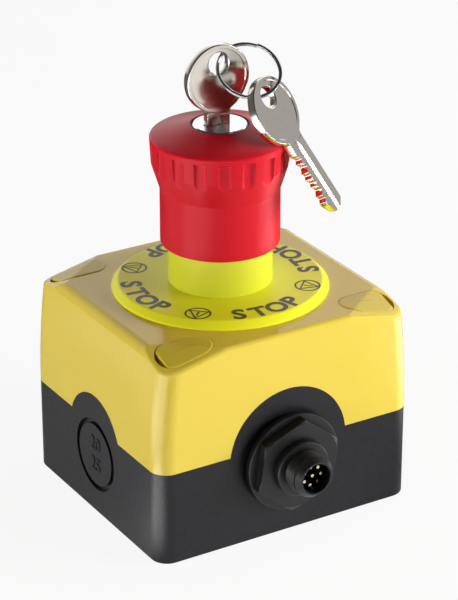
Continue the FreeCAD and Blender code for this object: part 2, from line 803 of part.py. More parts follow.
def contact_block(place, closing):
    """Housing, plunger, bridge, spring and fixed contacts of one block at X = place."""
    low = block_top - block_height
    half_w = (block_pitch - block_gap) / 2
    floor = low + block_wall
    roof = block_top - block_wall
    chamber = half_w - block_wall
    strip_z = strip_height(closing)
    rivet_y = strip_inner + rivet_radius + rivet_margin
    housing = box(-half_w, half_w, -block_half, block_half, low, block_top)
    housing = housing.cut(box(-chamber, half_w + 1, -chamber_length / 2, chamber_length / 2, floor, roof))
    guide_x = plunger_width / 2 + sliding_fit
    guide_y = plunger_depth / 2 + sliding_fit
    housing = housing.cut(box(-guide_x, guide_x, -guide_y, guide_y, roof - 1, block_top + 1))
    strips = []
    for side in (-1, 1):
        y0 = side * (chamber_length / 2 + end_wall)
        y1 = side * (block_half + 1)
        bay = box(-chamber, chamber, min(y0, y1), max(y0, y1), low - 1, strip_z)
        housing = housing.cut(bay)
        y0 = side * strip_inner
        y1 = side * strip_outer
        strip_top = strip_z + strip_thickness
        strip_half = strip_width / 2
        strip = box(-strip_half, strip_half, min(y0, y1), max(y0, y1), strip_z, strip_top)
        room_half = strip_half + running_fit
        room = box(-room_half, room_half, min(0, y1), max(0, y1), strip_z, strip_top + running_fit)
        housing = housing.cut(room)
        y = side * rivet_y
        if closing:
            rivet = cylinder(rivet_radius, strip_top, strip_top + rivet_height, 0, y)
        else:
            rivet = cylinder(rivet_radius, strip_z - rivet_height, strip_z, 0, y)
        strip = fuse([strip, rivet])
        y = side * terminal_place
        strip = strip.cut(cylinder(terminal_screw_radius + running_fit, low, block_top, 0, y))
        screw_top = strip_top + running_fit + terminal_screw_length / 4
        housing = housing.cut(cylinder(terminal_screw_radius + running_fit, strip_z, screw_top, 0, y))
        strips.append(strip)
        screw_foot = screw_top - running_fit - terminal_screw_length
        shank = cylinder(terminal_screw_radius, screw_foot, screw_top - running_fit, 0, y)
        head_z = screw_foot - terminal_head_height
        screw_head = cylinder(terminal_head_radius, head_z, screw_foot, 0, y)
        slot = box(-terminal_head_radius, terminal_head_radius, y - terminal_slot / 2, y + terminal_slot / 2,
                   head_z, head_z + terminal_slot)
        terminal_screws.append(fuse([shank, screw_head]).cut(slot).translate(V(place, 0, 0)))
    if closing:
        tip_z = strip_z + strip_thickness + rivet_height + press_travel + sliding_fit
        bridge_z = tip_z + rivet_height
    else:
        tip_z = strip_z - 2 * rivet_height
        bridge_z = tip_z - bridge_thickness
    tips = [cylinder(rivet_radius, tip_z, tip_z + rivet_height, 0, s * rivet_y) for s in (-1, 1)]
    bridge_x = bridge_width / 2
    bridge_end = bridge_length / 2
    bridge = box(-bridge_x, bridge_x, -bridge_end, bridge_end, bridge_z, bridge_z + bridge_thickness)
    bridge = fuse([bridge] + tips)
    plunger_low = plunger_top - plunger_length
    plunger_x = plunger_width / 2
    plunger_y = plunger_depth / 2
    plunger = box(-plunger_x, plunger_x, -plunger_y, plunger_y, plunger_low, plunger_top)
    foot_x = bridge_x + plunger_lip
    foot = box(-foot_x, foot_x, -plunger_y, plunger_y, plunger_low, roof - seat_clear / 2)
    slit = box(-bridge_x, bridge_x, -plunger_y, plunger_y, bridge_z, bridge_z + bridge_thickness)
    plunger = fuse([plunger, foot]).cut(slit)
    spring = coil(contact_spring_radius, contact_spring_wire, contact_spring_turns, floor, plunger_low)
    pieces = [housing, plunger, bridge, spring] + strips
    return [piece.translate(V(place, 0, 0)) for piece in pieces]


terminal_screws = []
strip_heights = []
for name, index, closing in (("left", -1, False), ("centre", 0, True), ("right", 1, False)):
    place = index * block_pitch
    pieces = contact_block(place, closing)
    save("contact_housing_" + name, pieces[0])
    save("contact_plunger_" + name, pieces[1])
    save("contact_bridge_" + name, pieces[2])
    save("contact_spring_" + name, pieces[3])
    save("fixed_contacts_" + name, pieces[4:])
    strip_heights.append((place, strip_height(closing)))
save("terminal_screws", terminal_screws)


# Plug connector: parts are turned along their own axis, then laid towards -Y
def to_port(shape):
    shape = shape.copy()
    shape.rotate(ORIGIN, V(1, 0, 0), 90)
    shape.translate(V(0, -half_y, port_height))
    return shape


flange_start = port_seal_length
hex_start = flange_start + flange_length
hex_end = hex_start + hex_length
shoulder_end = hex_end + shoulder_length
nose_start = shoulder_end + spigot_length
tip = nose_start + spigot_nose
neck_end = -port_neck_length
insert_face = tip - insert_depth
bore_step = insert_face - insert_front
insert_back = bore_step - insert_rear_length
body = revolve([
    (spigot_bore, bore_step),
    (insert_rear_radius + running_fit, bore_step),
    (insert_rear_radius + running_fit, neck_end),
    (port_neck_radius, neck_end),
    (port_neck_radius, flange_start),
    (flange_radius, flange_start),
    (flange_radius, hex_start),
    (shoulder_radius, hex_start),
    (shoulder_radius, shoulder_end),
    (spigot_radius, shoulder_end),
    (spigot_radius, nose_start),
    (spigot_radius - spigot_nose_step, tip),
    (spigot_bore, tip)])
hex_corner = hex_width / math.sqrt(3)
hex_points = []
for i in range(6):
    angle = math.radians(90 + hex_turn + 60 * i)
    hex_points.append((hex_corner * math.cos(angle), hex_corner * math.sin(angle)))
hexagon = prism(hex_points, hex_start, hex_end).cut(cylinder(shoulder_radius, hex_start - 1, hex_end + 1))
bevel = revolve([
    (0, hex_start),
    (hex_corner + 1, hex_start),
    (hex_corner + 1, hex_end - hex_chamfer),
    (hex_corner - hex_chamfer_reach, hex_end),
    (0, hex_end)])
body = fuse([body, hexagon.common(bevel)])
save("connector_body", to_port(body))
save("connector_seal", to_port(tube(port_seal_radius, port_neck_radius + running_fit, 0, port_seal_length)))
nut_outer = port_neck_radius + port_nut_wall
nut_points = []
for i in range(6):
    angle = math.radians(30 + 60 * i)
    nut_points.append((nut_outer * math.cos(angle), nut_outer * math.sin(angle)))
port_nut = prism(nut_points, -wall - port_nut_length, -wall)
port_nut = port_nut.cut(cylinder(port_neck_radius + running_fit, -wall - port_nut_length - 1, 0))
save("connector_nut", to_port(port_nut))
insert_radius = spigot_bore - running_fit
pin_end = tip - pin_short
coding_rib = cylinder(insert_radius, insert_face, pin_end).cut(
    cylinder(insert_radius - coding_rib_height, insert_face, pin_end))
half_rib = coding_rib_width / 2
coding_rib = coding_rib.common(box(-half_rib, half_rib, -spigot_bore, 0, insert_face, pin_end))
insert = fuse([
    cylinder(insert_radius, bore_step, insert_face),
    cylinder(insert_rear_radius, insert_back, bore_step),
    coding_rib])
places = [(0.0, 0.0)]
for i in range(pin_ring_count):
    angle = math.radians(90 + pin_turn + i * 360 / pin_ring_count)
    places.append((pin_circle * math.cos(angle), pin_circle * math.sin(angle)))
pins = []
for x, y in places:
    pins.append(cylinder(pin_radius, insert_back - pin_tail, pin_end, x, y))
    insert = insert.cut(cylinder(pin_radius, insert_back - 1, insert_face + 1, x, y))
save("connector_insert", to_port(insert))
save("connector_pins", [to_port(p) for p in pins])


# Leads from the pins to the terminals, laid in straight runs with round bends
def lead(points):
    edges = []
    at = points[0]
    for before, corner, after in zip(points, points[1:], points[2:]):
        back = (before - corner).normalize()
        ahead = (after - corner).normalize()
        half_angle = back.getAngle(ahead) / 2
        trim = lead_bend / math.tan(half_angle)
        middle = (back + ahead).normalize()
        centre = corner + middle * (lead_bend / math.sin(half_angle))
        first = corner + back * trim
        last = corner + ahead * trim
        edges.append(Part.makeLine(at, first))
        edges.append(Part.Arc(first, centre - middle * lead_bend, last).toShape())
        at = last
    edges.append(Part.makeLine(at, points[-1]))
    section = Part.Wire(Part.makeCircle(lead_radius, points[0], points[1] - points[0]))
    return Part.Wire(edges).makePipeShell([section], True, False)


tail_y = -half_y - insert_back + pin_tail
turn_y = -(hook_y + half_y - port_neck_length) / 2
rear_y = hook_y + lead_rear_clear
run_z = wall + lead_floor_clear
leads = []
for (place, strip_z), front_pin, rear_pin in zip(strip_heights, (2, 1, 7), (3, 4, 6)):
    wire_z = strip_z - lead_radius
    stop_y = terminal_place + terminal_screw_radius + lead_radius
    x, z = places[front_pin]
    leads.append(lead([V(x, tail_y, port_height + z), V(x, turn_y, port_height + z),
                       V(place, turn_y, wire_z), V(place, -stop_y, wire_z)]))
    x, z = places[rear_pin]
    leads.append(lead([V(x, tail_y, port_height + z), V(x, turn_y, port_height + z), V(place, turn_y, run_z),
                       V(place, rear_y, run_z), V(place, rear_y, wire_z), V(place, stop_y, wire_z)]))
save("leads", leads)
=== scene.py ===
import math
import bmesh
import bpy
import numpy as np
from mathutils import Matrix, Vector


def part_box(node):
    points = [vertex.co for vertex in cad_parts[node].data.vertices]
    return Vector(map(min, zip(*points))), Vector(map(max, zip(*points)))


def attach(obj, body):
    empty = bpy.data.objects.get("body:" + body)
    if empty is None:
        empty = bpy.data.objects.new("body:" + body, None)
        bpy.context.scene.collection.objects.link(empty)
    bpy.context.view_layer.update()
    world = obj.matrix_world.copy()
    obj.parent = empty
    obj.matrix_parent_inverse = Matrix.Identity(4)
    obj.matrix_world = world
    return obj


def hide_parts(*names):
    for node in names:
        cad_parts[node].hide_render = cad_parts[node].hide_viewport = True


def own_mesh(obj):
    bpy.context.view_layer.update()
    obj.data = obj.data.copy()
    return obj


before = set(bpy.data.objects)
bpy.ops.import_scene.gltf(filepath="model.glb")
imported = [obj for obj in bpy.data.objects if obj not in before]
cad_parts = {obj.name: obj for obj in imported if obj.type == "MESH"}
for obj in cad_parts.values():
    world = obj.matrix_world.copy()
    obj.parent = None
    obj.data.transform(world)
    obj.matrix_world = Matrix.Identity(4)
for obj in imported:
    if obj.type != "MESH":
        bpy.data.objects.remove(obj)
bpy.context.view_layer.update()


# Enclosure base
# A deep tray moulded in black glass-filled polycarbonate, with a spark-eroded grain on its outside.
# It stands on its flat underside and is screwed to the machine through two holes in its floor.
MM = 0.001


def linear(code):
    """An sRGB hex code as linear RGBA, by the sRGB transfer curve."""
    part = np.array([int(code[i:i + 2], 16) for i in (1, 3, 5)]) / 255
    part = np.where(part <= 0.04045, part / 12.92, ((part + 0.055) / 1.055) ** 2.4)
    return (*part.tolist(), 1.0)


def add(material, kind, sockets, **settings):
    """One shader node: settings are its own options, sockets are values, or outputs to be linked."""
    node = material.node_tree.nodes.new(kind)
    for name, value in settings.items():
        setattr(node, name, value)
    for name, value in sockets.items():
        if isinstance(value, bpy.types.NodeSocket):
            material.node_tree.links.new(value, node.inputs[name])
        else:
            node.inputs[name].default_value = value
    return node


def finish_of(name, sockets):
    """A new material with these constant values on its shader's own sockets."""
    material = bpy.data.materials.new(name)
    material.use_nodes = True
    shader = material.node_tree.nodes["Principled BSDF"]
    for socket, value in sockets.items():
        shader.inputs[socket].default_value = value
    return material, shader


def work_up(material, shader, drift, grain, light, dark, rough, depth_mm):
    """Two near shades follow the drift, and the grain moves the gloss and gives the bump."""
    link = material.node_tree.links.new
    tone = add(material, "ShaderNodeMix", {0: drift.outputs["Fac"], 6: linear(dark), 7: linear(light)},
               data_type="RGBA")
    link(tone.outputs[2], shader.inputs["Base Color"])
    gloss = add(material, "ShaderNodeMapRange", {"Value": grain.outputs["Fac"], "From Min": 0.3, "From Max": 0.7,
                                                 "To Min": rough[0], "To Max": rough[1]})
    link(gloss.outputs["Result"], shader.inputs["Roughness"])
    bump = add(material, "ShaderNodeBump", {"Height": grain.outputs["Fac"], "Distance": depth_mm * MM})
    link(bump.outputs["Normal"], shader.inputs["Normal"])


def moulded(name, light, dark, rough, grain_mm, depth_mm, mottle_mm=14.0, ior=1.5):
    """Moulded plastic: its colour drifts over the mottle, and the tool leaves a finer grain."""
    material, shader = finish_of(name, {"IOR": ior})
    place = add(material, "ShaderNodeTexCoord", {}).outputs["Object"]
    drift = add(material, "ShaderNodeTexNoise", {"Vector": place, "Scale": 1 / (mottle_mm * MM), "Detail": 4.0})
    grain = add(material, "ShaderNodeTexNoise", {"Vector": place, "Scale": 1 / (grain_mm * MM), "Detail": 2.0})
    work_up(material, shader, drift, grain, light, dark, rough, depth_mm)
    return material


def dress(material, *names):
    """Put a finish on CAD nodes that keep their own shape."""
    for name in names:
        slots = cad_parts[name].data.materials
        slots.clear()
        slots.append(material)


# Black polycarbonate, eroded tool: a speckle and a fine grain break its gloss into a charcoal sheen.
black_polycarbonate = moulded("black_polycarbonate_eroded", "#211F23", "#131215", (0.28, 0.44), 0.55, 0.065,
                              mottle_mm=1.3, ior=1.38)
dress(black_polycarbonate, "enclosure_base")

# The round knock-out of the left side carries two plain sizes, raised by the tool.
capital_share = 0.73
number_height = 4.2
number_bold = 0.05
number_lift = 0.22
number_root = 0.03
number_rise = 3.2
knockout_z = 18.0
wall_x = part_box("enclosure_base")[0].x / MM


def lettering(words, height, bold, lift, **options):
    """Mesh of a line in the built-in sans face and its points, in millimetres, at lift to both sides of z = 0.

    A capital takes up capital_share of the type size, and bold moves every outline outwards.
    """
    text = bpy.data.curves.new("lettering", "FONT")
    text.body = words
    text.size = height / capital_share
    text.offset = bold
    text.extrude = lift
    for name, value in options.items():
        setattr(text, name, value)
    carrier = bpy.data.objects.new("lettering", text)
    bpy.context.scene.collection.objects.link(carrier)
    mesh = bpy.data.meshes.new_from_object(carrier.evaluated_get(bpy.context.evaluated_depsgraph_get()))
    bpy.data.objects.remove(carrier)
    points = np.empty(len(mesh.vertices) * 3)
    mesh.vertices.foreach_get("co", points)
    return mesh, points.reshape(-1, 3)


def lay(name, mesh, points, material):
    """Move a mesh's points to their place, give it one finish and fix it to the enclosure."""
    mesh.vertices.foreach_set("co", (points * MM).ravel())
    mesh.update()
    mesh.materials.clear()
    mesh.materials.append(material)
    piece = bpy.data.objects.new(name, mesh)
    bpy.context.scene.collection.objects.link(piece)
    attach(piece, "enclosure")


for line, (digits, rise) in enumerate([("20", number_rise), ("25", -number_rise)], 1):
    mesh, points = lettering(digits, number_height, number_bold, number_lift, align_x="CENTER", align_y="CENTER")
    across, up, out = points.T
    points = np.stack([wall_x + number_root - out, -across, knockout_z + rise + up], -1)
    lay(f"knockout_number_{line}", mesh, points, black_polycarbonate)

# Cover
# The yellow upper shell in the same plastic, closed by four corner screws and a rubber cord in its edge.
# Each corner is cut by a sloped facet that holds the pocket of a screw.
# Yellow polycarbonate, polished tool: warm colour that hardly drifts, under a clear gloss.
yellow_polycarbonate = moulded("yellow_polycarbonate_moulded", "#DFC648", "#D9C042", (0.14, 0.21), 0.35, 0.004)
dress(yellow_polycarbonate, "enclosure_cover")

# Caps over the cover screws
# Snap-in plugs from the cover's own plastic, a little proud of top and facet, with rounded edges.
# One end is cut back so that a blade can lift them.
cap_centres = (25.3, 32.15)
cap_round = 4.7
cap_end = 35.6
cap_mid_y = 29.35
cap_soft = 0.5
cap_crease = 0.1
cap_proud = 0.2
cap_height = 5.6
facet_legs = (22.0, 16.0)
facet_corner = (40.25, 35.75)
facet_slope = math.radians(20.0)


def heights(node):
    """Lowest and highest Z of a CAD node, in millimetres."""
    low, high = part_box(node)
    return low.z / MM, high.z / MM


def refined(outline, longest):
    """The same closed outline with its sides divided evenly, into steps no longer than longest."""
    after = np.roll(outline, -1, 0)
    length = np.linalg.norm(after - outline, axis=1)
    parts = np.maximum(np.ceil(length / longest), 1).astype(int)
    start = np.repeat(np.arange(len(outline)), parts)
    share = np.arange(parts.sum()) - np.repeat(np.cumsum(parts) - parts, parts)
    share = (share / parts[start])[:, None]
    return outline[start] * (1 - share) + after[start] * share


def surface(name, grid, material, body, along=True, sharp=38.0):
    """Closed mesh over a grid of rows whose ends meet, riding a body.

    Along joins the last row to the first; without it, two flat ends close the mesh.
    """
    rows, columns = grid.shape[:2]
    index = np.arange(rows * columns).reshape(rows, columns)
    below = index if along else index[:-1]
    above = np.roll(index, -1, 0) if along else index[1:]
    quads = np.stack([below, np.roll(below, -1, 1), np.roll(above, -1, 1), above], -1).reshape(-1, 4)
    ends = [] if along else [index[0, ::-1].tolist(), index[-1].tolist()]
    mesh = bpy.data.meshes.new(name)
    mesh.from_pydata((grid.reshape(-1, 3) * MM).tolist(), [], quads.tolist() + ends)
    shell = bmesh.new()
    shell.from_mesh(mesh)
    bmesh.ops.remove_doubles(shell, verts=shell.verts, dist=1e-7)
    bmesh.ops.dissolve_degenerate(shell, edges=shell.edges, dist=1e-7)
    bmesh.ops.recalc_face_normals(shell, faces=shell.faces)
    shell.to_mesh(mesh)
    shell.free()
    mesh.shade_smooth()
    mesh.set_sharp_from_angle(angle=math.radians(sharp))
    mesh.materials.append(material)
    piece = bpy.data.objects.new(name, mesh)
    bpy.context.scene.collection.objects.link(piece)
    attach(piece, body)
    return piece


def cap_grid(side_x, side_y):
    """A cap in one corner: rings from its lower edge over the rounded rim to its middle line.

    In plan it is a slot with round ends, cut straight at the outer one. Its height is the lower of top and
    facet, joined softly: top - (d + sqrt(d^2 + e^2)) / 2, with d the facet's fall below the top and e the crease.
    """
    cut = math.acos((cap_end - cap_centres[1]) / cap_round)
    outer = np.concatenate([np.linspace(-math.pi / 2, -cut, 12), np.linspace(cut, math.pi / 2, 12)])
    inner = np.linspace(math.pi / 2, 1.5 * math.pi, 36)[1:-1]
    angle = np.concatenate([outer, inner])
    start = np.where(np.arange(len(angle)) < len(outer), *cap_centres[::-1])
    outline = np.stack([start + cap_round * np.cos(angle), cap_mid_y + cap_round * np.sin(angle)], -1)
    outline = refined(outline, 0.4)
    middle = np.stack([np.clip(outline[:, 0], *cap_centres), np.full(len(outline), cap_mid_y)], -1)
    reach = np.linalg.norm(outline - middle, axis=1)
    turn = np.linspace(0, math.pi / 2, 7)
    inset = np.concatenate([[0], cap_soft * (1 - np.cos(turn))])
    inward = np.linspace(0.14, 0.97, 24)
    share = np.concatenate([inset[:, None] / reach, np.repeat(inward[:, None], len(reach), 1)])
    drop = np.concatenate([[cap_height], cap_soft * (1 - np.sin(turn)), np.zeros(len(inward))])[:, None]
    x, y = ((1 - share)[..., None] * outline + share[..., None] * middle).transpose(2, 0, 1)
    span = math.hypot(*facet_legs)
    past = (x - facet_corner[0] + facet_legs[0]) * facet_legs[1] + (y - facet_corner[1]) * facet_legs[0]
    fall = past / span * math.tan(facet_slope)
    fall = (fall + np.sqrt(fall ** 2 + cap_crease ** 2)) / 2
    z = heights("enclosure_cover")[1] + cap_proud - np.where(drop < cap_height, fall + drop, drop)
    return np.stack([side_x * x, side_y * y, z], -1)


# The cover's plastic from a duller tool: a shade deeper, with wider highlights.
cap_polycarbonate = moulded("yellow_polycarbonate_cap", "#D3BC3E", "#CDB638", (0.26, 0.36), 0.35, 0.006)
for number, (side_x, side_y) in enumerate([(1, 1), (-1, 1), (-1, -1), (1, -1)], 1):
    cap = surface(f"cap_{number}", cap_grid(side_x, side_y), cap_polycarbonate, "enclosure", False)
    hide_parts("cover_caps")


# Legend plate
# A round disc of lemon polyamide with a rounded rim, clamped between the cover and the collar.
# It carries the printed words and signs.
def rounded(corners, steps=7):
    """Closed outline through corners (x, y, radius): each corner becomes an arc tangent to its two sides.

    The arc's centre lies on the corner's bisector at radius / sin(half angle) from the corner.
    """
    corners = np.array(corners, float)
    at = corners[:, :2]
    radius = corners[:, 2:]
    back = np.roll(at, 1, 0) - at
    ahead = np.roll(at, -1, 0) - at
    back /= np.linalg.norm(back, axis=1, keepdims=True)
    ahead /= np.linalg.norm(ahead, axis=1, keepdims=True)
    half = np.arccos(np.clip((back * ahead).sum(1, keepdims=True), -1, 1)) / 2
    middle = back + ahead
    middle /= np.maximum(np.linalg.norm(middle, axis=1, keepdims=True), 1e-9)
    centre = at + middle * radius / np.sin(half)
    first = at + back * radius / np.tan(half) - centre
    last = at + ahead * radius / np.tan(half) - centre
    share = np.linspace(0, 1, steps)[:, None, None]
    spoke = (1 - share) * first + share * last
    length = np.maximum(np.linalg.norm(spoke, axis=2, keepdims=True), 1e-12)
    points = centre + spoke / length * radius
    return points.transpose(1, 0, 2).reshape(-1, 2)


def turned(outline, sides=128):
    """Grid of an outline (radius, height) carried round the Z axis."""
    angle = np.linspace(0, 2 * math.pi, sides, endpoint=False)
    radius = outline[:, :1]
    height = np.broadcast_to(outline[:, 1:], (len(outline), sides))
    return np.stack([radius * np.cos(angle), radius * np.sin(angle), height], -1)


legend_bottom, legend_top = heights("legend_plate")
legend_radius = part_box("legend_plate")[1].x / MM
legend_hole = 11.15
legend_bevel = 1.7
legend_rim = 0.6
# Lemon polyamide, plain satin tool: even colour, soft highlights.
lemon_polyamide = moulded("lemon_polyamide_satin", "#F2F02C", "#EAE824", (0.36, 0.48), 0.5, 0.005)
legend = surface("legend_disc", turned(rounded([
    (legend_hole, legend_bottom, 0.0),
    (legend_radius, legend_bottom, 0.1),
    (legend_radius, legend_bottom + legend_rim, 0.5),
    (legend_radius - legend_bevel, legend_top, 1.3),
    (legend_hole, legend_top, 0.0)]), 192), lemon_polyamide, "enclosure")
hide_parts("legend_plate")

# Print on the legend plate
# Four words and four stop signs in dark grey pad-printing ink, set round the plate with their feet outwards.
# The ink film is drawn thicker than it is, so that it stays clear of the plate.
ink_lift = 0.03
ink_film = 0.02
word_radius = 24.9
letter_height = 5.8
letter_bold = 0.27
letter_step = 12.9
sign_radius = 24.6
sign_size = 7.2
sign_line = 0.5
triangle_share = 0.93
triangle_line = 0.85
# Pad-printing ink: satin like the plate, nearly black, slightly uneven where the film is thin.
printing_ink = moulded("printing_ink_satin", "#2E3030", "#45443C", (0.36, 0.48), 0.6, 0.004, mottle_mm=1.5)


def on_plate(points, degrees):
    """Points of flat print, feet towards -Y, turned about the axis and lifted onto the plate."""
    turn = math.radians(degrees)
    across, up, high = points.T
    x = across * math.cos(turn) - up * math.sin(turn)
    y = across * math.sin(turn) + up * math.cos(turn)
    return np.stack([x, y, high + legend_top + ink_lift], -1)


def word_letter(letter):
    """A letter thickened to a bold weight, its middle on the word's circle."""
    mesh, points = lettering(letter, letter_height, letter_bold, ink_film / 2, resolution_u=6)
    middle = (points.min(0) + points.max(0)) / 2
    return mesh, points - middle - (0, word_radius, 0)


def band(outer, inner):
    """Flat ring of ink between two outlines with as many points, its faces joined point by point."""
    count = len(outer)
    index = np.arange(count)
    after = np.roll(index, -1)
    loop = np.concatenate([outer, inner])
    top = np.stack([index, after, after + count, index + count], -1)
    points = np.concatenate([np.c_[loop, np.full(len(loop), z)] for z in (ink_film / 2, -ink_film / 2)])
    under = top[:, ::-1] + 2 * count
    edge = np.stack([after, index, index + 2 * count, after + 2 * count], -1)
    inside = np.stack([index, after, after + 2 * count, index + 2 * count], -1) + count
    return points, np.concatenate([top, under, edge, inside])


def stop_sign():
    """Circle round a triangle that points outwards, with a bar down its middle: the common stop sign."""
    angle = np.linspace(0, 2 * math.pi, 72, endpoint=False)
    circle = np.stack([np.cos(angle), np.sin(angle)], -1)
    corners = np.array([[0, -1.0], [0.866, 0.5], [-0.866, 0.5]])
    radius = sign_size / 2
    tall = radius * triangle_share
    bar = np.array([[0.28, 0.95], [-0.28, 0.95], [-0.18, -1.5], [0.18, -1.5]])
    points = []
    faces = []
    start = 0
    for shape_points, shape_faces in (band(circle * radius, circle * (radius - sign_line)),
                                      band(corners * tall, corners * (tall - triangle_line)),
                                      band(bar, bar * 0.05)):
        points.append(shape_points)
        faces.append(shape_faces + start)
        start += len(shape_points)
    points = np.concatenate(points) - (0, sign_radius, 0)
    mesh = bpy.data.meshes.new("stop_sign")
    mesh.from_pydata(points.tolist(), [], np.concatenate(faces).tolist())
    return mesh, points


for quarter in range(4):
    for place, letter in enumerate("STOP"):
        mesh, points = word_letter(letter)
        points = on_plate(points, 90 * quarter + letter_step * (place - 1.5))
        lay(f"word_{quarter + 1}_letter_{place + 1}", mesh, points, printing_ink)
    mesh, points = stop_sign()
    lay(f"stop_sign_{quarter + 1}", mesh, on_plate(points, 90 * quarter + 45), printing_ink)

# Collar
# The sleeve that the red head dives over, moulded in lemon polyamide.
# It is pressed on the bushing, and its foot holds the legend plate on the cover.
collar_bottom, collar_top = heights("collar")
collar_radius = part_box("collar")[1].x / MM
collar_bore = 12.67
# The same polyamide in a greener shade, darkened as well to paint the shade that the red head's skirt casts on it.
collar_polyamide_with_painted_shade = moulded("lemon_polyamide_collar_painted_shade", "#D0D236", "#C8CA2E", (0.36, 0.48), 0.5, 0.005)
collar = surface("collar_sleeve", turned(rounded([
    (collar_bore, collar_bottom, 0.0),
    (collar_radius, collar_bottom, 0.15),
    (collar_radius, collar_top, 0.5),
    (collar_bore, collar_top, 0.3)]), 128), collar_polyamide_with_painted_shade, "enclosure")
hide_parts("collar")

# Bushing, ring nut and the mouldings inside
# The works under the cover: bushing, nuts and stem in black polyamide, carrier, pusher and housings in grey.
# The ring nut clamps the bushing to the cover, the carrier clips on below, and the housings clip on the carrier.
# Black polyamide, plain tool: charcoal with a dull gloss.
black_polyamide = moulded("black_polyamide_moulded", "#242427", "#1C1C1F", (0.38, 0.5), 0.3, 0.01)
# Grey polyamide, plain tool: the light grey of switchgear.
grey_polyamide = moulded("grey_polyamide_moulded", "#8B8D8E", "#818384", (0.4, 0.52), 0.3, 0.01)
# Red polyamide, plain tool: a plunger stands out from its housing.
red_plunger = moulded("red_polyamide_moulded", "#B3262C", "#A82026", (0.4, 0.52), 0.3, 0.01)
dress(black_polyamide, "bushing", "ring_nut", "stem", "connector_nut")
dress(grey_polyamide, "pusher_plate", "contact_carrier")
for side in ("left", "centre", "right"):
    dress(grey_polyamide, "contact_housing_" + side)
    dress(red_plunger, "contact_plunger_" + side)

# Seals
# Four rings of nitrile rubber: under the collar, round the lock, in the cover's edge and under the connector.
# They are moulded to shape and held by the pieces that squeeze them.
# Nitrile rubber: black and matt, with the bloom of a moulded skin.
nitrile_rubber = moulded("nitrile_rubber_moulded", "#1B1B1C", "#141415", (0.55, 0.7), 0.4, 0.01)
dress(nitrile_rubber, "front_seal", "lock_seal", "cover_gasket", "connector_seal")


# Metal inside
# Contacts stamped from brass, a lock nut, a cam and pawls cast in zinc, and plated steel screws.
# The contacts are clipped in their housings, and the screws hold the cover and the leads.
def metal(name, light, dark, rough, grain_mm, stretch=(1.0, 1.0, 1.0), depth_mm=0.002):
    """Bare metal: one grain, which stretch draws out along an axis, moves tint, gloss and a faint bump."""
    material, shader = finish_of(name, {"Metallic": 1.0})
    place = add(material, "ShaderNodeTexCoord", {}).outputs["Object"]
    run = add(material, "ShaderNodeMapping", {"Vector": place, "Scale": stretch})
    grain = add(material, "ShaderNodeTexNoise", {"Vector": run.outputs["Vector"], "Scale": 1 / (grain_mm * MM),
                                                 "Detail": 3.0})
    work_up(material, shader, grain, grain, light, dark, rough, depth_mm)
    return material


# Stamped brass: yellow, bright from the die.
contact_brass = metal("contact_brass_stamped", "#D9B86C", "#C9A658", (0.22, 0.34), 0.8)
# Die-cast zinc: grey and rather dull.
zinc_casting = metal("zinc_die_cast", "#A9ABAD", "#9C9EA1", (0.35, 0.5), 0.5)
# Zinc-plated steel: pale, with a thin haze.
plated_screw = metal("zinc_plated_steel", "#B9BABA", "#A8A9A8", (0.25, 0.4), 0.4)
dress(zinc_casting, "lock_nut", "release_cam", "latch_pawls")
dress(plated_screw, "cover_screws", "terminal_screws")
for side in ("left", "centre", "right"):
    dress(contact_brass, "contact_bridge_" + side, "fixed_contacts_" + side)

# Springs
# Coiled from drawn wire: the large one lifts the head, and a small one lifts each contact plunger.
# They stand on fixed seats and shorten as the head is pressed; here they keep one length, fixed to the enclosure.
# Drawn spring wire: mid grey with a soft shine.
spring_wire = metal("spring_wire_drawn", "#B4B6B9", "#9FA1A4", (0.25, 0.35), 0.3)


def coil_grid(node, thick, turns):
    """Round wire on a helix that fills a CAD node's box.

    The wire's middle runs through (r cos a, r sin a, low + rise a / (2 pi turns)), and each ring of points lies in
    the plane that holds it and the axis.
    """
    low, high = (np.array(corner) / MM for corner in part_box(node))
    radius = (high[0] - low[0] - thick) / 2
    share = np.linspace(0, 1, 48 * turns + 1)[:, None]
    angle = 2 * math.pi * turns * share
    around = np.linspace(0, 2 * math.pi, 12, endpoint=False)
    reach = radius + thick / 2 * np.cos(around)
    level = low[2] + thick / 2 + (high[2] - low[2] - thick) * share + thick / 2 * np.sin(around)
    middle = (low + high) / 2
    return np.stack([middle[0] + np.cos(angle) * reach, middle[1] + np.sin(angle) * reach, level], -1)


for node, thick, turns in [("return_spring", 1.1, 6), ("contact_spring_left", 0.5, 4),
                           ("contact_spring_centre", 0.5, 4), ("contact_spring_right", 0.5, 4)]:
    spring = surface(node + "_coil", coil_grid(node, thick, turns), spring_wire, "enclosure", False)
    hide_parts(node)
    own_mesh(spring)

# Leads
# Stranded copper in extruded blue PVC, from the connector's pins to the terminals.
# They are soldered to the pins and clamped under the terminal screws.
# Blue PVC: even colour with a waxy gloss.
lead_vinyl = moulded("blue_pvc_extruded", "#2A3E86", "#24367A", (0.35, 0.45), 0.4, 0.004)
dress(lead_vinyl, "leads")

# Red head
# One moulding in red polyamide: a crowned top, a fluted rim to grip, a cone and a skirt over the collar.
# The lock sits in its middle, and the stem carries it.
head_bottom, face_z = heights("mushroom_head")
rim_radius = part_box("mushroom_head")[1].x / MM
crown_height = 3.1
rim_height = 7.6
cone_height = 7.3
skirt_radius = 16.45
skirt_wall = 1.6
eye_radius = 8.0
eye_depth = 2.2
eye_wall = 0.8
rim_draft = 0.4
flute_count = 18
flute_half = 1.85
flute_depth = 1.05
flute_band = 1.9
flute_ease = 0.25
flute_soft = 0.05
flute_turn = math.radians(3.0)
rim_z = face_z - crown_height
cone_top = rim_z - rim_height
cone_bottom = cone_top - cone_height
ceiling = 91.9


def smooth_step(value):
    """0 below 0, 1 above 1, and 3 v^2 - 2 v^3 between."""
    value = np.clip(value, 0, 1)
    return value * value * (3 - 2 * value)


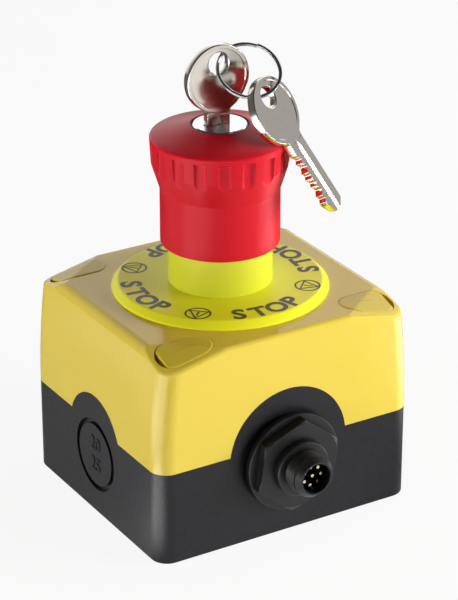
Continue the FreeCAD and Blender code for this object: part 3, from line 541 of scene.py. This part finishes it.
def fluted(outline):
    """Outline turned about Z, then pressed in by the flutes.

    A flute leaves the radius rim - depth (1 - |u|^3)^(1/3) at a share u of its half width, straight down, and the
    head keeps the smaller of that and its own radius. So a flute ends round on the cone. The columns stand close
    together at its walls.
    """
    pitch = 2 * math.pi / flute_count
    edge = flute_half / rim_radius
    walls = edge * np.sin(np.linspace(-math.pi / 2, math.pi / 2, 21))
    across = np.concatenate([walls, np.linspace(edge, pitch - edge, 9)[1:-1]])
    off = np.tile(across, flute_count)
    angle = flute_turn + np.repeat(np.arange(flute_count) * pitch, len(across)) + off
    under = 1 - np.abs(off / edge) ** 3
    groove = np.where(under > 0, rim_radius - flute_depth * np.cbrt(np.maximum(under, 0)), rim_radius + 1)
    radius = np.repeat(outline[:, :1], len(angle), 1)
    height = np.repeat(outline[:, 1:], len(angle), 1)
    start = (rim_z - flute_band - height) / flute_ease
    outside = radius > skirt_radius - skirt_wall / 2
    gap = np.where(outside, np.maximum(radius - groove, 0), 0)
    press = gap - flute_soft * (1 - np.exp(-gap / flute_soft))
    radius = radius - press * smooth_step(start)
    return np.stack([radius * np.cos(angle), radius * np.sin(angle), height], -1)


head_outline = rounded([
    (skirt_radius - skirt_wall, ceiling, 0.0),
    (skirt_radius - skirt_wall, head_bottom, 0.3),
    (skirt_radius, head_bottom, 0.45),
    (skirt_radius, cone_bottom, 1.2),
    (rim_radius - rim_draft, cone_top, 0.8),
    (rim_radius, rim_z, 0.9),
    (eye_radius, face_z, 0.25),
    (eye_radius, face_z - eye_depth, 0.0),
    (eye_radius + eye_wall, face_z - eye_depth, 0.0),
    (eye_radius + eye_wall, ceiling, 0.0)])
at_flutes = (head_outline[:, 0] > skirt_radius - 0.1) & (head_outline[:, 1] > cone_bottom - 1)
at_flutes &= head_outline[:, 1] < rim_z - 0.5
head_outline = refined(head_outline, np.where(at_flutes, 0.22, 2.0))
# Red polyamide, satin tool: saturated colour with broad soft highlights and a faint flow mottle.
red_polyamide = moulded("red_polyamide_satin", "#CE1626", "#C41222", (0.27, 0.36), 0.4, 0.006, ior=1.28)
head = surface("head_moulding", fluted(head_outline), red_polyamide, "button", sharp=32)
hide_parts("mushroom_head")

# Lock
# A cam lock in the head: barrel and turning core, polished and chromed, with the keyway in the core.
# It is pushed in from above, and a nut under the head holds it.
# Chrome plate, polished: a near mirror.
chrome_plate = metal("chrome_plate_polished", "#F4F5F6", "#ECEDEE", (0.05, 0.10), 3.0, depth_mm=0.0003)
dress(chrome_plate, "lock_barrel", "lock_core")


# Keys
# Two cylinder keys stamped from nickel silver and tumbled, so that every edge is soft.
# One stands in the lock, the other hangs on the split ring and leans on the rim of the head.
bow_radius = 9.5
bow_half = 1.2
bow_recess = 0.24
bow_dome = 0.2
bow_apron = 2.0
bow_rim = 1.1
bow_ridge = 6.0
bow_slope = 0.14
bow_blend = 1.2
eye_offset = 4.2
key_eye = 3.0
eye_edge = 0.4
key_edge = 0.3
key_neck = 13.1
neck_end = 10.1
neck_ease = 0.25
blade_reach = 19.2
blade_half = 3.5
blade_thick = 1.1
blade_edge = 0.15
groove_half = 0.75
groove_depth = 0.42
groove_wall = 0.15
groove_start = 9.3
groove_run = 3.2
tip_half = 1.4
tip_bevel_left = 3.4
tip_bevel_right = 1.6
cut_count = 6
cut_first = 5.4
cut_pitch = 2.5
cut_depth = 1.5
cut_flat = 0.6
# Nickel silver, tumbled and worn: warm grey, with a faint grain along the key.
nickel_silver = metal("nickel_silver_worn", "#E8E2D9", "#DCD5CB", (0.13, 0.20), 0.6, (1.0, 1.0, 0.3), 0.0004)


def bow_grid(columns=240):
    """Bow of a key about its own centre: rings from the outer edge to the eye's, on both faces.

    Near the outside the rings share the bow's centre, further in they move over to the eye's. A ring's height
    is half the thickness, less the recess inside the rim, whose floor d (1 - x^2 - z^2) arches a little, with z
    counted above the middle alone. Below the ridge the apron climbs straight out of the recess. The round of the
    outer edge fades out where the neck joins.
    """
    angle = np.linspace(0, 2 * math.pi, columns, endpoint=False)
    neck_angle = math.asin((blade_half + bow_blend) / (bow_radius + bow_blend))
    soft = key_edge * (0.05 + 0.95 * smooth_step((np.abs(angle - math.pi) - neck_angle) / 0.1))
    turn = np.linspace(math.pi / 2, 0, 6)[:, None]
    outer = bow_radius - soft * (1 - np.sin(turn))
    slope = bow_rim + bow_slope * np.array([0, 0.5, 1])
    land = bow_radius - np.concatenate([[0.5, 0.8, bow_rim - 0.03], slope])
    share = np.linspace(0, 1, 45)[1:]
    inner = land[-1] + (key_eye + eye_edge - land[-1]) * share
    eye = key_eye + eye_edge * (1 - np.sin(turn[-2::-1, 0]))
    fixed = np.concatenate([land, inner, eye])
    radius = np.concatenate([outer, np.repeat(fixed[:, None], columns, 1)])
    move = np.concatenate([np.zeros(len(turn) + len(land)), share * eye_offset, np.full(len(eye), eye_offset)])
    drop = np.concatenate([soft * (1 - np.cos(turn)), np.zeros((len(land) + len(share), columns)),
                           np.repeat(eye_edge * (1 - np.cos(turn[-2::-1])), columns, 1)])
    x = radius * np.sin(angle)
    z = move[:, None] + radius * np.cos(angle)
    floor_radius = bow_radius - bow_rim
    inside = smooth_step((floor_radius - np.hypot(x, z)) / bow_slope)
    dome = bow_dome * (1 - (np.hypot(x, np.maximum(z, 0)) / floor_radius) ** 2)
    apron = np.clip(1 + (z + bow_ridge) / bow_apron, 0, 1)
    high = bow_half - drop - (bow_recess - dome) * apron * inside
    front = np.stack([x, -high, z], -1)
    back = np.stack([x, high, z], -1)
    return np.concatenate([front, back[::-1]])


def blade_grid():
    """Neck and blade: one closed section, carried from inside the bow to the tip.

    The neck closes in on an arc tangent to bow and blade, x = c - sqrt(r^2 - (z - z_c)^2). The left edge follows
    the cuts, each a V with a flat floor. The groove in each face, one steep wall and one long slope, opens from a
    point below the bow.
    """
    tip = -(key_neck + blade_reach)
    z = np.linspace(-bow_ridge - bow_apron - 0.2, tip, 300)[:, None]
    groove_floor = blade_thick - groove_depth
    wall = groove_half - groove_wall
    face = np.array([
        (-blade_half, -blade_thick, blade_edge), (-groove_half, -blade_thick, 0.04), (-wall, -groove_floor, 0.08),
        (groove_half, -blade_thick, 0.2), (blade_half, -blade_thick, blade_edge)])
    section = rounded(np.concatenate([face, face * (-1, -1, 1)]), 5)
    across = section[:, 0]
    side = np.sign(section[:, 1])
    dip = blade_thick - np.abs(section[:, 1])
    in_groove = np.abs(across) < groove_half + 0.2
    arc_z = -math.sqrt((bow_radius + bow_blend) ** 2 - (blade_half + bow_blend) ** 2)
    above_arc = np.clip(z - arc_z, 0, -arc_z * bow_blend / (bow_radius + bow_blend))
    half = blade_half + bow_blend - np.sqrt(bow_blend ** 2 - above_arc ** 2)
    thick = blade_thick + (bow_half - 0.01 - blade_thick) * smooth_step((z + neck_end) / neck_ease + 1)
    open_groove = smooth_step((-groove_start - z) / groove_run)
    plain = np.sign(across) * (half - blade_half + np.abs(across))
    x = np.where(in_groove, across * (0.02 + 0.98 * open_groove), plain)
    y = side * (thick - dip * np.where(in_groove, open_groove, 1))
    number = np.arange(cut_count)
    deep = cut_depth * (0.6 + 0.4 * (2 * number % 3) / 2)
    away = np.maximum(np.abs(z - tip - cut_first - cut_pitch * number) - cut_flat / 2, 0)
    left = -half + np.max(np.maximum(deep - away, 0), axis=1, keepdims=True)
    left = np.maximum(left, -tip_half - (z - tip) * (blade_half - tip_half) / tip_bevel_left)
    right = np.minimum(half, tip_half + (z - tip) * (blade_half - tip_half) / tip_bevel_right)
    x = np.minimum(np.maximum(x, left), right)
    return np.stack([x, y, np.broadcast_to(z, x.shape)], -1)


def turn_about(axis, degrees):
    """Rotation matrix about X, Y or Z."""
    c = math.cos(math.radians(degrees))
    s = math.sin(math.radians(degrees))
    rows = {"X": [[1, 0, 0], [0, c, -s], [0, s, c]],
            "Y": [[c, 0, s], [0, 1, 0], [-s, 0, c]],
            "Z": [[c, -s, 0], [s, c, 0], [0, 0, 1]]}
    return np.array(rows[axis])


def lay_key(name, node, body, turn, centre):
    """Bow and blade of one key, turned and moved to the bow's centre."""
    for part, grid, along in (("bow", bow_grid(), True), ("blade", blade_grid(), False)):
        piece = surface(f"{name}_{part}", grid @ turn.T + centre, nickel_silver, body, along, 50)
        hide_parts(node)


key_low, key_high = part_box("key")
bow_centre = np.array([(key_low.x + key_high.x) / 2 / MM, 0.0, key_high.z / MM - bow_radius])
lay_key("key", "key", "key", np.eye(3), bow_centre)

# Split ring
# Two turns of flattened spring wire with round edges, coiled cold and polished.
# It is threaded through the eyes of both keys and hangs free in them.
ring_radius = 8.48
ring_wire = (0.85, 0.42)
ring_pitch = 0.46
ring_end = 152.0
ring_at_key = 249.94
ring_at_spare = 15.44
ring_in_eye = np.array([0.33, 0.0, -0.48])
ring_turn = turn_about("Z", -105.26) @ turn_about("Y", 38.25)
# Bright spring steel: cool grey, nearly a mirror.
ring_steel = metal("spring_steel_bright", "#C6C9CD", "#B6B9BE", (0.12, 0.2), 0.5, depth_mm=0.0004)


def ring_point(degrees):
    """Point of the ring's middle line, about its centre."""
    a = math.radians(degrees)
    return ring_turn @ np.array([ring_radius * math.cos(a), ring_radius * math.sin(a), 0.0])


ring_centre = bow_centre + np.array([0, 0, eye_offset]) + ring_in_eye - ring_point(ring_at_key)
along_wire = np.radians(ring_end) + np.linspace(0, 4 * math.pi, 260)
rise = np.linspace(-ring_pitch, ring_pitch, 260)
section = rounded([(-0.5, -0.5, 0.4), (0.5, -0.5, 0.4), (0.5, 0.5, 0.4), (-0.5, 0.5, 0.4)], 5) * ring_wire
wire_radius = ring_radius + section[:, 0]
ring_grid = np.stack([np.cos(along_wire)[:, None] * wire_radius, np.sin(along_wire)[:, None] * wire_radius,
                      rise[:, None] + section[:, 1]], -1)
ring_grid = ring_grid @ ring_turn.T + ring_centre
split_ring = surface("split_ring_wire", ring_grid, ring_steel, "split_ring", False, 50)
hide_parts("split_ring")

# Spare key
# The same stamped and tumbled key again, on the ring's lower side.
# It hangs by its eye and leans on the rim of the head.
spare_hang = 0.75
spare_turn = turn_about("Z", 34.79) @ turn_about("Y", -11.72) @ turn_about("X", -29.55)
spare_centre = ring_centre + ring_point(ring_at_spare) - spare_turn @ np.array([0, 0, spare_hang + eye_offset])
lay_key("spare_key", "spare_key", "spare_key", spare_turn, spare_centre)

# Plug connector
# A panel connector in black polyamide with a metric 12 mm thread and eight gilt pins.
# Its flange and hexagon draw a seal against the wall, and a nut holds it from inside.
port_y = -35.75
port_z = 22.4
flange_start = 1.2
hex_start = 2.9
hex_end = 5.7
shoulder_end = 7.9
nose_start = 12.7
nose_end = 14.2
neck_rear = -8.8
neck_radius = 10.0
neck_bore = 8.26
flange_radius = 14.2
hex_half = 11.75
hex_corner = 13.5
hex_face = 12.2
hex_chamfer = 0.7
hex_bore = 5.0
hex_turn = math.radians(-8.5)
shoulder_radius = 8.0
spigot_radius = 6.0
nose_radius = 4.8
spigot_bore = 4.3
bore_floor = 6.3
hex_lap = 0.4
shoulder_lap = 0.5
spigot_lap = 0.6
thread_pitch = 1.0
thread_depth = 0.35
# Black polyamide with glass fibre, satin: almost no colour, dull light along its edges.
connector_polyamide = moulded("black_polyamide_glass_filled", "#161516", "#0F0E10", (0.34, 0.5), 0.3, 0.008)


def to_port(grid):
    """Lay a grid that was turned about Z along the connector's axis, towards -Y."""
    return np.stack([grid[..., 0], port_y - grid[..., 2], port_z + grid[..., 1]], -1)


def connector_piece(name, grid):
    """One form of the connector's body."""
    piece = surface(name, to_port(grid), connector_polyamide, "enclosure", sharp=40)
    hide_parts("connector_body")


connector_piece("connector_flange", turned(rounded([
    (neck_bore, neck_rear, 0.0), (neck_radius, neck_rear, 0.3), (neck_radius, flange_start, 0.0),
    (flange_radius, flange_start, 0.15), (flange_radius, hex_start, 0.35), (neck_bore, hex_start, 0.0)])))


def hexagon(outline, columns=192):
    """Outline turned about Z, kept inside the flats: radius <= half width / cos(angle from the flat)."""
    angle = np.linspace(0, 2 * math.pi, columns, endpoint=False) + hex_turn
    off = (angle - hex_turn + math.pi / 6) % (math.pi / 3) - math.pi / 6
    flats = hex_half / np.cos(off)
    radius = np.minimum(outline[:, :1], flats)
    height = np.broadcast_to(outline[:, 1:], radius.shape)
    return np.stack([radius * np.cos(angle), radius * np.sin(angle), height], -1)


connector_piece("connector_hexagon", hexagon(refined(rounded([
    (hex_bore, hex_start - hex_lap, 0.0), (hex_corner, hex_start - hex_lap, 0.0),
    (hex_corner, hex_end - hex_chamfer, 0.2), (hex_face, hex_end, 0.3), (hex_bore, hex_end, 0.0)]), 0.4)))


def threaded(outline, columns=96):
    """Outline turned about Z with a thread on its outside: a V that climbs one pitch in each turn."""
    angle = np.linspace(0, 2 * math.pi, columns, endpoint=False)
    height = np.repeat(outline[:, 1:], columns, 1)
    phase = (height / thread_pitch - angle / (2 * math.pi)) % 1
    groove = thread_depth * smooth_step(np.abs(phase - 0.5) * 2)
    fade = smooth_step((height - shoulder_end - 0.3) / 0.5) * smooth_step((nose_start - 0.3 - height) / 0.5)
    outside = outline[:, :1] > spigot_radius - 0.02
    radius = outline[:, :1] - np.where(outside, groove * fade, 0)
    return np.stack([radius * np.cos(angle), radius * np.sin(angle), height], -1)


connector_piece("connector_shoulder", turned(rounded([
    (spigot_bore, hex_end - shoulder_lap, 0.0), (shoulder_radius, hex_end - shoulder_lap, 0.0),
    (shoulder_radius, shoulder_end, 0.5), (spigot_bore, shoulder_end, 0.0)])))
connector_piece("connector_spigot", threaded(refined(rounded([
    (spigot_bore, bore_floor - spigot_lap, 0.0), (spigot_radius, bore_floor - spigot_lap, 0.0),
    (spigot_radius, nose_start, 0.1), (nose_radius, nose_end, 0.12), (spigot_bore, nose_end, 0.12)]), 0.1)))
# Gilt brass pins in a pale gilt, even along their length.
gilt_pins = metal("gilt_brass_turned", "#EADFC4", "#D8C9A2", (0.12, 0.2), 0.5)
dress(gilt_pins, "connector_pins")
dress(connector_polyamide, "connector_insert")

# Floor and studio
# A white paper sweep, two large soft lamps low at the sides of the camera, a weak one behind and a narrow strip.
# Shiny surfaces show the rear lamp and the strip alone, so that none of them turns white from another side.
floor_size = 3.0
floor_mesh = bpy.data.meshes.new("studio_floor")
floor_mesh.from_pydata([(-floor_size, -floor_size, 0), (floor_size, -floor_size, 0), (floor_size, floor_size, 0),
                        (-floor_size, floor_size, 0)], [], [(0, 1, 2, 3)])
floor = bpy.data.objects.new("studio_floor", floor_mesh)
bpy.context.scene.collection.objects.link(floor)
# White paper. The camera sees it evenly white, apart from the shadow. To shiny surfaces alone it glows in painted
# patches that paint reflections and highlights on the object: a bright beam on the left, the near ground, a dark
# gap before the camera, a bright patch on the right and a painted glint by the near corner of the base.
floor_paper, floor_shader = finish_of("white_paper_painted_reflections", {"Roughness": 0.9, "Base Color": linear("#F4F4F2")})
paper_share = 0.9
rays = add(floor_paper, "ShaderNodeLightPath", {}).outputs
place = add(floor_paper, "ShaderNodeTexCoord", {}).outputs["Object"]
axes = add(floor_paper, "ShaderNodeSeparateXYZ", {"Vector": place}).outputs
light = {"x": axes["X"], "y": axes["Y"]}
for name, operation, vector in [
        ("aside", "DOT_PRODUCT", (0.857, 0.514, 0.0)),
        ("from_gap", "DISTANCE", (-0.10, -0.17, 0.0)),
        ("from_right_patch", "DISTANCE", (0.16, -0.08, 0.0)),
        ("from_glint", "DISTANCE", (-0.078, -0.037, 0.0))]:
    measure = add(floor_paper, "ShaderNodeVectorMath", {0: place, 1: vector}, operation=operation)
    light[name] = measure.outputs["Value"]
# Each row paints a fall of brightness on the floor that only shiny surfaces see: painted reflections, not lamp
# light.
for name, value, start, end, first, last in [
        ("right", "aside", -0.02, 0.06, 1.0, 0.08),
        ("front", "y", -0.06, 0.02, 1.0, 0.45),
        ("left", "x", -0.14, -0.07, 1.0, 0.08),
        ("strip", "y", 0.0, 0.08, 4.5, 1.0),
        ("rear", "y", 0.12, 0.22, 1.0, 0.1),
        ("gap", "from_gap", 0.04, 0.1, 0.12, 1.0),
        ("right_patch", "from_right_patch", 0.03, 0.11, 5.0, 0.0),
        ("glint", "from_glint", 0.015, 0.042, 6.5, 0.0)]:
    fade = add(floor_paper, "ShaderNodeMapRange", {
        "Value": light[value], "From Min": start, "From Max": end, "To Min": first, "To Max": last},
        interpolation_type="SMOOTHSTEP")
    light[name] = fade.outputs["Result"]
for name, operation, one, other in [
        ("beam", "MULTIPLY", "left", "strip"),
        ("near", "MULTIPLY", "right", "front"),
        ("ground", "MAXIMUM", "near", "beam"),
        ("broken", "MULTIPLY", "ground", "gap"),
        ("bright_patches", "MAXIMUM", "right_patch", "glint"),
        ("spread", "MAXIMUM", "broken", "bright_patches"),
        ("painted_reflection", "MULTIPLY", "spread", "rear")]:
    joined = add(floor_paper, "ShaderNodeMath", {0: light[one], 1: light[other]}, operation=operation)
    light[name] = joined.outputs[0]
bright = add(floor_paper, "ShaderNodeMix", {0: rays["Is Camera Ray"], 2: light["painted_reflection"], 3: 1.0})
glow = add(floor_paper, "ShaderNodeEmission", {"Color": (1, 1, 1, 1), "Strength": bright.outputs[0]})
seen = add(floor_paper, "ShaderNodeMath", {0: rays["Is Camera Ray"], 1: rays["Is Glossy Ray"]},
           operation="MAXIMUM")
share = add(floor_paper, "ShaderNodeMath", {0: seen.outputs[0], 1: paper_share}, operation="MULTIPLY")
blend = add(floor_paper, "ShaderNodeMixShader", {0: share.outputs[0], 1: floor_shader.outputs[0],
                                                 2: glow.outputs[0]})
floor_paper.node_tree.links.new(blend.outputs[0], floor_paper.node_tree.nodes["Material Output"].inputs["Surface"])
floor_mesh.materials.append(floor_paper)

# The room is white behind the object, grey on the right, and dark overhead and behind the camera. It lights matt
# surfaces weakly, and the camera sees it plain white.
world = bpy.data.worlds.new("white_studio")
bpy.context.scene.world = world
world.use_nodes = True
sky = world.node_tree.nodes["Background"]
rays = add(world, "ShaderNodeLightPath", {}).outputs
toward = add(world, "ShaderNodeTexCoord", {}).outputs["Generated"]
axes = add(world, "ShaderNodeSeparateXYZ", {"Vector": toward}).outputs
facing = add(world, "ShaderNodeVectorMath", {0: toward, 1: (0.174, 0.985, 0.0)}, operation="DOT_PRODUCT")
room = {"camera": rays["Is Camera Ray"]}
for name, value, start, end, first, last, smooth in [
        ("overhead", axes["Z"], 0.45, 0.75, 1.0, 0.35, "SMOOTHSTEP"),
        ("behind", facing.outputs["Value"], 0.62, 0.82, 0.0, 1.3, "SMOOTHSTEP"),
        ("side", axes["X"], 0.5, 0.95, 0.12, 0.45, "SMOOTHSTEP"),
        ("weak", rays["Is Diffuse Ray"], 0.0, 1.0, 1.0, 0.35, "LINEAR")]:
    fade = add(world, "ShaderNodeMapRange", {
        "Value": value, "From Min": start, "From Max": end, "To Min": first, "To Max": last},
        interpolation_type=smooth)
    room[name] = fade.outputs["Result"]
for name, operation, one, other in [
        ("wall", "MAXIMUM", "behind", "side"),
        ("all", "MULTIPLY", "overhead", "wall"),
        ("lit", "MULTIPLY", "all", "weak"),
        ("level", "MAXIMUM", "lit", "camera")]:
    joined = add(world, "ShaderNodeMath", {0: room[one], 1: room[other]}, operation=operation)
    room[name] = joined.outputs[0]
world.node_tree.links.new(room["level"], sky.inputs["Strength"])
sky.inputs["Color"].default_value = (1, 1, 1, 1)
lamp_aim = (0, 0, 0.06)


def soft_lamp(name, place, size, power, mirrored):
    """An area lamp aimed at the object, unseen by the camera; mirrored shows it in shiny surfaces."""
    lamp = bpy.data.lights.new(name, "AREA")
    lamp.shape = "RECTANGLE"
    lamp.size, lamp.size_y = size
    lamp.energy = power
    holder = bpy.data.objects.new(name, lamp)
    bpy.context.scene.collection.objects.link(holder)
    holder.location = place
    holder.visible_camera = False
    holder.visible_glossy = mirrored
    direction = np.array(lamp_aim) - np.array(place)
    yaw = math.atan2(direction[0], -direction[1])
    holder.rotation_euler = (math.acos(-direction[2] / np.linalg.norm(direction)), 0, yaw - math.pi)


soft_lamp("soft_lamp_right", (0.92, -0.77, 0.27), (0.9, 0.45), 21.5, False)
soft_lamp("soft_lamp_left", (-1.19, 0.0, 0.2), (0.9, 0.3), 11.5, False)
soft_lamp("soft_lamp_rear", (0.87, 0.32, 0.85), (0.85, 0.85), 2.6, True)
soft_lamp("strip_lamp", (0.95, -0.73, 0.3), (0.1, 0.5), 2.2, True)

# Camera
# Stands where the photograph was taken from: left of the connector's side, 25 degrees above the table.
# Its place and its lens come from a fit to the edges and circles in the photograph.
camera = bpy.data.cameras.new("camera")
camera.sensor_width = 36.0
camera.lens = 152.736
camera.clip_end = 20.0
viewer = bpy.data.objects.new("camera", camera)
bpy.context.scene.collection.objects.link(viewer)
viewer.location = (-0.328770, -0.547872, 0.352061)
viewer.rotation_euler = (math.radians(65.086), 0, math.radians(-31.184))
bpy.context.scene.camera = viewer
bpy.context.scene.view_settings.view_transform = "Standard"
